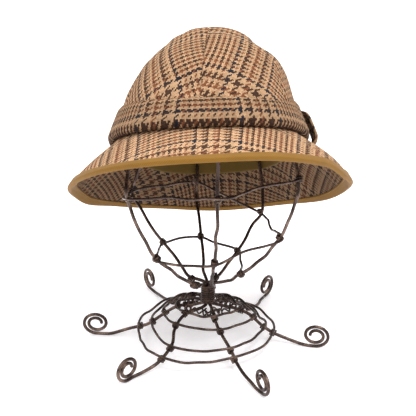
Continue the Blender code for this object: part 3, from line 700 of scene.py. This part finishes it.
def bindingStrip():
    # an outline folded round the brim's edge: over the top lip, round the nose, back under, and
    # home along the inside. Each row is inward by, part of the way down through the brim, and
    # height over that.
    angle = np.arange(bindingLook["columns"]) * 360 / bindingLook["columns"] - 180
    slope = np.linalg.norm(brimPoint(angle, 1.0)[0] - brimPoint(angle, 0.0)[0], axis=1)
    gap, skin, wide = cloth["gap"], bindingLook["skin"], bindingLook["width"]
    inward = np.linspace(1, 0, 9)
    cover = gap + skin * np.where(inward > 0.95, 0.35, 1)
    cover = cover + bindingLook["puff"] * (1 - (2 * inward - 1) ** 2)
    nose = np.radians(np.linspace(90, -90, 9)[1:-1])
    rows = [(wide * s, 0, c) for s, c in zip(inward, cover)]
    rows += [(-(gap + skin) * np.cos(a), 0.5 - 0.5 * np.sin(a), (gap + skin) * np.sin(a))
             for a in nose]
    rows += [(wide * s, 1, -c) for s, c in zip(inward[::-1], cover[::-1])]
    rows += [(wide, 1, -gap), (wide / 2, 1, -gap), (-gap * 0.6, 1, -gap), (-gap * 0.6, 0, gap),
             (wide / 2, 0, gap), (wide, 0, gap)]
    grid = []
    for inwardBy, down, over in rows:
        share = 1 - max(inwardBy, 0) / slope
        point, out, up = brimPoint(angle, share, over - brimDeep * down * pinch(share))
        grid.append(point + out * max(-inwardBy, 0))
    return np.array(grid)


grid = bindingStrip()
loop = looped(np.concatenate([grid, grid[:1]], axis=0))
v = lengths(loop, 0)
weave = np.stack([lengths(loop, 1).mean(axis=0)[None, :] + 0 * v, v], axis=-1) / cloth["yarn"]
r, c = np.indices(grid.shape[:2]).reshape(2, -1)
corners = np.stack([weave[r, c], weave[r, c + 1], weave[r + 1, c + 1], weave[r + 1, c]], axis=1)
binding = addMesh("edgeBinding", onFloor(grid).reshape(-1, 3), tubeFaces(*grid.shape[:2], True), corners)
asCloth(binding, bindingCloth, "binding", grid[:bindingLook["outerRows"]],
        True)


def stitchPaths():
    # short arched threads, end to end round the strip's inner edge on both faces
    inwardBy = bindingLook["width"] - bindingLook["stitchIn"]
    paths = []
    fine = np.linspace(0, 360, 1441)
    for down in (0, 1):
        length = np.linalg.norm(brimPoint(fine, 1.0)[0] - brimPoint(fine, 0.0)[0], axis=1)
        side = 1 - 2 * down
        cover = side * (cloth["gap"] + bindingLook["skin"] + 0.5 * bindingLook["puff"])
        line = brimPoint(fine, 1 - inwardBy / length)[0]
        far = travelled(line)
        count = int(far[-1] / bindingLook["stitchEvery"])
        lift = side * bindingLook["stitchThick"] * np.array([-0.5, 0.35, 0.55, 0.35, -0.5])
        for start in np.arange(count) * far[-1] / count:
            at = start + bindingLook["stitchLong"] * np.linspace(0, 1, 5)
            turned = np.interp(at % far[-1], far, fine)
            share = 1 - inwardBy / np.interp(turned, fine, length)
            arch = cover + lift - brimDeep * down * pinch(share)
            paths.append(onFloor(brimPoint(turned, share, arch)[0]))
    return paths


stitches = tubes("bindingStitches", stitchPaths(), bindingLook["stitchThick"] / 2, 6)
stitches.data.materials.append(threadLook)
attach(stitches, "root")
print("brim and binding made")


bandLook = {
    "height": 0.030,
    "roll": 0.0058,
    "rows": ((0.060, 0.30), (0.030, 0.75), (0.150, 1.00), (0.340, 0.70), (0.640, 0.32), (1.000, 0.00)),
    "crest": ((-180, 1.15), (-90, 1.10), (-40, 0.78), (0, 0.62), (40, 0.67), (95, 1.12)),
    "columns": 288,
    "wrinkle": 0.00035,
    "lip": 0.3,                     # thickness left at the upper edge
    "across": 0.0570,               # where the weave starts, from the middle of the front and up
    "up": 0.0255,
}


def bandGrid():
    # the strip's inner face: smooth at its top, and a soft roll over the brim at its foot
    angle = np.arange(bandLook["columns"])[None, :] * 360 / bandLook["columns"] - 180
    crest = roundTable(*zip(*bandLook["crest"]), angle)
    rows = throughPoints([(h, s, 0) for h, s in bandLook["rows"]], 5)
    table = np.array(brim["rows"])
    seam = roundTable(table[:, 0], table[:, 3], angle) * brim["drop"]
    height = seam + rows[:, :1] * (bandLook["height"] * crest - seam)
    stand = cloth["gap"] + np.maximum(rows[:, 1:2], 0) * bandLook["roll"] + 0 * height
    return wallPoint(angle, height, stand)


inner = bandGrid()
normal = unit(np.cross(np.roll(inner, -1, axis=1) - np.roll(inner, 1, axis=1), np.gradient(inner, axis=0)))
v = lengths(inner, 0)
u = lengths(looped(inner), 1).mean(axis=0)
u = u - u[bandLook["columns"] // 2]
fromTop = v[-1:] - v
wave = bandLook["wrinkle"] * ripple(u[None, :-1] + 0 * v, v, 0.02, 8)
wave = wave * np.clip(v / 0.006, 0, 1) * np.clip(fromTop / 0.006, 0, 1)
thin = bandLook["lip"] + (1 - bandLook["lip"]) * np.clip(fromTop / 0.005, 0, 1)
outer = inner + normal * (cloth["thick"] * thin + np.maximum(wave, -0.0002))[..., None]
v = looped(v)
weave = np.stack([u[None, :] + bandLook["across"] + 0 * v, v + bandLook["up"]], axis=-1) / cloth["yarn"]
bandPiece = wall("crownBand", onFloor(outer), onFloor(inner), weave, True)
# the band's tweed is a darker copy: painted shade
asCloth(bandPiece, bandClothPaintedShade, "band", outer, True)

tabLook = {
    "width": 0.024,
    "from": -0.0045,                # lower and upper end, over the seam
    "to": 0.0270,
    "bulge": 0.0012,
    "bow": 0.0050,
    "angle": 96,
}


def tabGrid():
    # a strip bowed out between its lower and upper ends, and a little between its two sides
    half = np.degrees(tabLook["width"] / 2 / crown["halfLength"])
    share = np.linspace(-1, 1, 31)[None, :]
    angle = tabLook["angle"] + half * share
    rows = np.array(bandLook["rows"])
    crest = roundTable(*zip(*bandLook["crest"]), tabLook["angle"])
    t = np.linspace(0, 1, 41)[:, None]
    level = tabLook["from"] + (tabLook["to"] - tabLook["from"]) * t
    stand = smoothTable(rows[2:, 0] * bandLook["height"] * crest, rows[2:, 1] * bandLook["roll"],
                        np.maximum(level, rows[2, 0] * bandLook["height"] * crest))
    arch = np.maximum(1 - (2 * t - 1) ** 4, 0) ** 0.6
    out = stand + cloth["gap"] + (cloth["thick"] + cloth["gap"]) * np.minimum(arch * 1.6, 1)
    out = out + arch * (tabLook["bow"] + tabLook["bulge"] * (1 - share ** 2))
    edge = np.minimum((1 - np.abs(share)) / 0.12, 1) ** 0.5 * 0.5 + 0.5
    return wallPoint(angle, level, out), wallPoint(angle, level, out + cloth["thick"] * edge)


inner, outer = tabGrid()
weave = np.stack([lengths(outer, 0), lengths(outer, 1)], axis=-1) / cloth["yarn"] + (8, 4)
tab = wall("sideTab", onFloor(outer), onFloor(inner), weave)
# the tab takes the band's darker tweed: painted shade
asCloth(tab, bandClothPaintedShade, "side_tab", outer)

sweatLook = {
    "height": 0.030,
    "fold": 0.0130,                 # how far it hangs out at the back
    "columns": 288,
    "rows": 26,
    "thick": 0.0013,
    "clear": 0.0006,
}


def sweatGrid():
    # a strip inside the opening, whose foot hangs lower in a smooth step towards the back
    angle = np.arange(sweatLook["columns"])[None, :] * 360 / sweatLook["columns"] - 180
    foot = 0.02 * sweatLook["height"] - sweatLook["fold"] * smoothStep((np.abs(angle) - 70) / 75)
    height = foot + np.linspace(0, 1, sweatLook["rows"])[:, None] * (sweatLook["height"] - foot)
    start = -(cloth["thick"] + crown["seamDepth"] + sweatLook["clear"])
    return wallPoint(angle, height, start), wallPoint(angle, height, start - sweatLook["thick"])


outer, inner = sweatGrid()
weave = np.stack([lengths(looped(outer), 1), looped(lengths(outer, 0))], axis=-1) / cloth["yarn"]
sweat = wall("sweatStrip", onFloor(outer), onFloor(inner), weave, True)
asCloth(sweat, liningCloth, "sweatband", outer, True)
print("band, tab and sweatband made")


stand = {
    "frameWire": 0.0031,
    "webWire": 0.0024,
    "coilWire": 0.0020,
    "bundleRadius": 0.0031,
    "columnFoot": 0.033,
    "columnTop": 0.056,
    "coil": (0.0365, 0.0550, 0.00225),  # foot, top and pitch
    "legReach": 0.110,
    "legFlat": 0.006,
    "footRadius": 0.0109,
    "footTurns": 1.75,
    "footPitch": 0.0038,
    "footWide": 1.16,
    "cage": (0.0974, 1.07, 0.284, 0.130),   # radius, oval, lean, height
    "cageCut": 0.028,
    "sides": 10,
    "legStep": 0.0011,              # between points along a leg
    "cageStep": 0.0014,             # and along a wire of the cage
    "bent": 0.0013,                 # hand bending of the frame's wires
    "ringBent": 0.0020,             # and of the web's rings, between their crossings
}
# direction, reach, stray at the first and last ring, where the four rings cross
legs = {
    "front_right": (294, 1.014, -8, -3, 0.200, 0.325, 0.500, 0.580),
    "front_left": (229.6, 0.968, -21, 6, 0.230, 0.350, 0.555, 0.680),
    "left": (177.8, 0.965, -8, -1, 0.270, 0.385, 0.490, 0.610),
    "back_left": (120.3, 1.110, 2, 2, 0.245, 0.360, 0.467, 0.550),
    "back_right": (55.5, 0.974, -5, -9, 0.260, 0.365, 0.460, 0.550),
    "right": (347.9, 0.923, 5, 3, 0.300, 0.420, 0.520, 0.605),
}
bundleTurn = (290, 230, 170, 110, 50, 350)
rings = ((0.91, 0.05), (0.71, 0.07), (0.44, 0.08), (0.29, 0.12))      # height, bow
ribs = {"front": 274.6, "front_left": 225.8, "back_left": 150.9, "back": 98.8,
        "back_right": 42.8, "front_right": 323.0}
cageOutline = ((0.00, 0.000), (0.02, 0.130), (0.06, 0.230), (0.146, 0.375), (0.30, 0.630),
               (0.49, 0.825), (0.72, 0.968), (0.95, 1.000), (1.35, 1.000))
cageTies = ((5, 0.138), (4, 0.146), (3, 0.19), (2, 0.21), (1, 0.313), (0, 0.36), (5, 0.452),
            (4, 0.36), (3, 0.50), (2, 0.53), (1, 0.76), (0, 0.83), (5, 0.86))
cageSag = (-0.002, 0.002, 0.003, 0.000, -0.002, 0.002, -0.002, 0.001, 0.002, -0.001, 0.001, 0.001)


def polar(turn, radius, height):
    # points round the stand's axis: direction in degrees, distance and height
    turn = np.radians(np.asarray(turn, float))
    return np.stack(np.broadcast_arrays(radius * np.cos(turn), radius * np.sin(turn), height), axis=-1)


def legPoint(leg, bundle, share):
    # out of the bundle, down through the ring crossings and along the floor
    turn, reach, hook, swing, *crossings = leg
    share = np.asarray(share, float)
    reach = reach * stand["legReach"]
    start = stand["bundleRadius"] / reach
    at = [start, *crossings, 0.80, 1 - stand["legFlat"] / reach]
    rise = np.array([1.08, *(height for height, bow in rings), 0.12]) * stand["columnFoot"]
    height = smoothTable(at, np.append(rise, stand["frameWire"] / 2), share)
    settle = smoothStep((share - start) / (0.16 - start))
    stray = smoothTable((start, crossings[0], crossings[2], crossings[3], 0.93),
                        (0, hook, swing, swing, 0), share)
    return polar(bundle + wrapped(turn - bundle) * settle + stray, share * reach, height)


def handBent(path, size, ease, seed):
    # small waves that depend on the place alone, eased along the path
    wave = [ripple(path[:, 0] + path[:, 2], path[:, 1] - path[:, 2], 0.030, seed + i) for i in range(3)]
    return path + size * ease[:, None] * np.stack(wave, axis=1)


def endEase(path, fade=0.012):
    # 0 at the two ends, 1 beyond the fade
    far = travelled(path)
    return np.clip(np.minimum(far, far[-1] - far) / fade, 0, 1)


def wire(name, node, paths, thick, sides=stand["sides"], closed=False):
    # one or more wires in one piece, which stands for its node if it has one
    piece = tubes(name, [path + floorShift for path in paths], thick / 2, sides, closed)
    piece.data.materials.append(wireFinish)
    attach(piece, "root")
    if node:
        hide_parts(node)


def pieceName(kind, name):
    return kind + name.title().replace("_", "")


meet = (stand["columnFoot"] + stand["columnTop"]) / 2
for number, (name, leg) in enumerate(legs.items()):
    turn, reach = leg[0], leg[1] * stand["legReach"]
    turns = np.radians(np.arange(stand["footTurns"] * 360, -1, -12))
    radius = stand["footRadius"] - stand["footPitch"] * turns / (2 * np.pi)
    foot = polar(turn, reach + stand["footWide"] * radius * np.sin(turns),
                 stand["frameWire"] / 2 + stand["footRadius"] - radius * np.cos(turns))
    flat = polar(turn, reach - stand["legFlat"] * np.array([0.3, 0.65, 1]), stand["frameWire"] / 2)
    inward = np.array([0.86, 0.74, 0.62, 0.50, 0.38, 0.26, 0.16, 0.09, 0.055, stand["bundleRadius"] / reach])
    run = legPoint(leg, bundleTurn[number], inward)
    rise = polar(bundleTurn[number], stand["bundleRadius"],
                 np.array([stand["columnFoot"] * 1.17, meet - cloth["gap"] / 2]))
    down = evenPath(throughPoints(np.vstack([foot[-1:], flat, run, rise]), 6), stand["legStep"])
    path = np.vstack([foot[:-1], handBent(down, stand["bent"], endEase(down), 40 + 3 * number)])
    wire(pieceName("leg", name), f"leg_wire_{name}", [evenPath(path, stand["legStep"])], stand["frameWire"])

crossings = []      # middle of the frame wire, its direction and the way to the wire on it


def tied(here, ahead, side, lift=0.0):
    # a place on a frame wire, or so far over it, out along side x direction; kept for its lashing
    slope = unit(ahead - here)
    normal = unit(np.cross(side, slope))
    crossings.append((here, slope, normal))
    return here + normal * lift


legList, ribTurn = list(legs.values()), list(ribs.values())
order = sorted(range(len(legs)), key=lambda item: legList[item][0])
for number, (height, bow) in enumerate(rings):
    lift = (stand["frameWire"] + stand["webWire"]) / 2 + 2 * cloth["gap"]
    ties = []
    for index in order:
        leg = legList[index]
        share = leg[4 + number]
        here, ahead = (legPoint(leg, bundleTurn[index], at) for at in (share, share + 0.01))
        ties.append(tied(here, ahead, (here[1], -here[0], 0), lift))
    ties = np.array(ties)
    middle = (ties + np.roll(ties, -1, axis=0)) / 2 * (1 + bow, 1 + bow, 1)
    middle[:, 2] -= lift / 2
    path = throughPoints(np.stack([ties, middle], axis=1).reshape(-1, 3), 12, closed=True)
    ease = np.sin(np.pi * (np.arange(len(path)) % 24) / 24) ** 2
    path = handBent(path, stand["ringBent"], ease, 60 + 3 * number)
    if number == 0:
        topRing = path
    wire(f"webRing{number + 1}", f"web_ring_{number + 1}", [path], stand["webWire"], closed=True)


def cagePoint(turn, bundle, rise):
    # an oval cage that leans back with its height
    rise = np.asarray(rise, float)
    cageRadius, oval, lean, cageHeight = stand["cage"]
    at, size = np.array(cageOutline).T
    radius = stand["bundleRadius"] + smoothTable(at, size, rise) * (cageRadius - stand["bundleRadius"])
    settle = np.clip(rise / 0.10, 0, 1)
    point = polar(bundle + wrapped(turn - bundle) * smoothStep(settle), radius,
                  stand["columnTop"] + rise * cageHeight)
    point[..., 1] = point[..., 1] * (1 + (oval - 1) * settle) + lean * rise * cageHeight
    return point


for number, (name, turn) in enumerate(ribs.items()):
    bundle = bundleTurn[number]
    start = polar(bundle, stand["bundleRadius"],
                  np.array([meet + cloth["gap"] / 2, stand["coil"][1] - stand["coil"][2]]))
    rise = np.array([0.0, 0.03, 0.07, 0.13, 0.20, 0.29, 0.40, 0.54, 0.69, 0.85, 1.0, 1.16])
    cage = cagePoint(turn, bundle, rise)
    cage = cage[intoHat(cage)[:, 2] < -stand["cageCut"]]
    entry = intoHat(cage[-1:])[0]
    angle = np.degrees(np.arctan2(entry[0] / crown["halfWidth"], -entry[1] / crown["halfLength"]))
    inside = (cloth["thick"] + crown["seamDepth"] + sweatLook["clear"] + sweatLook["thick"]
              + cloth["gap"] + stand["frameWire"] / 2)
    mouth = wallPoint(angle, np.array([0.05, 0.5, 1.0]) * sweatLook["height"], -inside - 0.0012)
    along = np.array([0.42, 0.53, 0.64, 0.75, 0.85, 0.93])
    depth = cloth["thick"] + 2.5 * cloth["gap"] + stand["frameWire"] / 2
    depth = depth + seamDraw(np.array((angle / 60) % 1))
    lining = crownPoint(angle, along) - crownNormal(angle, along) * depth
    path = throughPoints(np.vstack([start, cage, onStand(np.vstack([mouth, lining]))]), 8)
    path = evenPath(path, stand["cageStep"])
    ease = endEase(path) * np.clip(-intoHat(path)[:, 2] / 0.02, 0, 1)     # straight inside the hat
    path = handBent(path, stand["bent"], ease, 80 + 3 * number)
    wire(pieceName("rib", name), f"rib_wire_{name}", [path], stand["frameWire"])

ties = []
for index, rise in cageTies:
    turn = ribTurn[index]
    here, ahead = (cagePoint(turn, bundleTurn[index], at) for at in (rise, rise + 0.01))
    side = (-np.sin(np.radians(turn)), np.cos(np.radians(turn)), 0)
    ties.append(tied(here, ahead, side, (stand["frameWire"] + stand["webWire"]) / 2 + cloth["gap"]))
ties = np.array(ties)
middle = (ties[1:] + ties[:-1]) / 2 + np.array(cageSag)[:, None] * (0, 0, 1)
points = np.vstack([np.stack([ties[:-1], middle], axis=1).reshape(-1, 3), ties[-1:]])
path = evenPath(throughPoints(points, 12), stand["cageStep"])
wire("cageWire", "cage_wire", [handBent(path, stand["bent"], endEase(path), 99)], stand["webWire"])

coilFoot, coilTop, coilPitch = stand["coil"]
coilTurns = (coilTop - coilFoot) / coilPitch
share = np.linspace(0, 1, int(coilTurns * 32))
coilRadius = stand["bundleRadius"] + (stand["frameWire"] + stand["coilWire"]) / 2 + 0.0001
path = polar(share * coilTurns * 360, coilRadius, coilFoot + share * (coilTop - coilFoot))
wire("columnCoil", "coil_wrap", [path], stand["coilWire"])

lashing = {
    "wire": 0.0017,
    "turns": (2.1, 3.1),
    "pitch": 0.0018,
    "extra": ((1, 0.035), (1, 0.022), (2, 0.02), (0, 0.012), (4, 0.012)),   # more knots: rib, rise
    "wreath": ((0.0075, 0.0021, 22), (0.0130, 0.0020, 14)),     # inward of the top ring, size, loops
}


def knot(middle, along, out, seed):
    # a short helix round the frame wire, over the wire that lies on it
    pick = np.random.default_rng(seed)
    axis = unit(along + out * pick.uniform(-0.12, 0.12))
    side = unit(np.cross(axis, out))
    radius = (stand["frameWire"] + lashing["wire"]) / 2 + 0.0001
    turns = pick.uniform(*lashing["turns"])
    t = np.linspace(0, 1, int(turns * 16))
    turn = t * turns * 2 * np.pi + pick.uniform(0, 6)
    return (middle + axis * ((t - 0.5) * turns * lashing["pitch"])[:, None]
            + radius * (out * (1.12 * np.cos(turn))[:, None] + side * np.sin(turn)[:, None]))


def wreath(ring, inward, size, loops, seed):
    # a wire that winds loosely round a ring: a helix whose pitch and size wander
    ring = evenPath(np.vstack([ring, ring[:1]]), 0.0004)[:-1]
    ring = ring * (1 - inward / np.linalg.norm(ring[:, :2], axis=1)[:, None] * (1, 1, 0))
    along, across, up = carried(ring, True)
    t = np.arange(len(ring)) / len(ring)
    t = t * 2 * np.pi
    turn = loops * t + 1.6 * np.sin(3 * t + seed) + 0.9 * np.sin(7 * t + 2 * seed)
    size = size * (1 + 0.22 * np.sin(5 * t + seed))[:, None]
    return ring + size * (np.cos(turn)[:, None] * across + np.sin(turn)[:, None] * up)


for index, rise in lashing["extra"]:
    here, ahead = cagePoint(ribTurn[index], bundleTurn[index], np.array([rise, rise + 0.01]))
    tied(here, ahead, (here[1], -here[0], 0))
paths = [knot(*crossing, seed) for seed, crossing in enumerate(crossings)]
paths += [wreath(topRing, *loops, seed) for seed, loops in enumerate(lashing["wreath"])]
wire("lashings", None, paths, lashing["wire"], sides=6)
print("stand made,", len(crossings), "lashings")


studio = {
    "aim": (0, 0, 0.130),           # in the stand's frame
    "distance": 0.792,
    "elevation": 20,
    "lens": 36 * 880 / 416,
    "skyLow": 0.40,
    "skyHigh": 2.2,
    "skyFrom": 0.35,
    "skyTo": 0.75,
    # name, place, width and power
    "lamps": (("keyLight", (0.5, -0.6, 1.6), 0.8, 12), ("fillLight", (-0.7, -1.5, 0.9), 1.0, 3)),
}

floorMesh = bpy.data.meshes.new("floor")
floorMesh.from_pydata([(-40, -40, 0), (40, -40, 0), (40, 40, 0), (-40, 40, 0)], [], [(0, 1, 2, 3)])
floor = bpy.data.objects.new("floor", floorMesh)
bpy.context.collection.objects.link(floor)
floorLook, tree, shader = newMaterial("paleFloor")      # lit from below as well
feed(tree, shader, {"Base Color": (0.90, 0.89, 0.91, 1), "Roughness": 0.75,
                    "Emission Color": (1, 0.98, 1, 1), "Emission Strength": 0.28})
floorMesh.materials.append(floorLook)

world = bpy.data.worlds.new("studio")
world.use_nodes = True
tree = world.node_tree      # brightest overhead, in a smooth step of the height over the horizon
high = add(tree, "SeparateXYZ", {0: add(tree, "TexCoord").outputs["Generated"]}).outputs[2]
step = add(tree, "MapRange", {0: high, 1: studio["skyFrom"], 2: studio["skyTo"], 3: studio["skyLow"],
                              4: studio["skyHigh"]}, interpolation_type="SMOOTHSTEP").outputs[0]
feed(tree, tree.nodes["Background"], {0: (1, 1, 1, 1), 1: step})
bpy.context.scene.world = world
bpy.context.scene.view_settings.view_transform = "Standard"


def softLight(name, place, size, power):
    # a round lamp, turned to the middle of the hat and stand
    light = bpy.data.lights.new(name, "AREA")
    light.shape = "DISK"
    light.size = size
    light.energy = power
    lamp = bpy.data.objects.new(name, light)
    lamp.location = place
    aim = np.array([0, 0, 0.15]) - place
    lamp.rotation_euler = (np.arctan2(np.hypot(aim[0], aim[1]), -aim[2]), 0,
                           np.arctan2(-aim[0], aim[1]))
    bpy.context.collection.objects.link(lamp)


for lamp in studio["lamps"]:
    softLight(*lamp)

camera = bpy.data.objects.new("camera", bpy.data.cameras.new("camera"))
camera.data.lens = studio["lens"]
camera.data.sensor_width = 36
camera.data.clip_start = 0.01
up = np.radians(studio["elevation"])
back = np.array([0, -np.cos(up), np.sin(up)])
camera.location = np.array(studio["aim"]) + studio["distance"] * back + floorShift
camera.rotation_euler = (np.pi / 2 - up, 0, 0)
bpy.context.collection.objects.link(camera)
bpy.context.scene.camera = camera
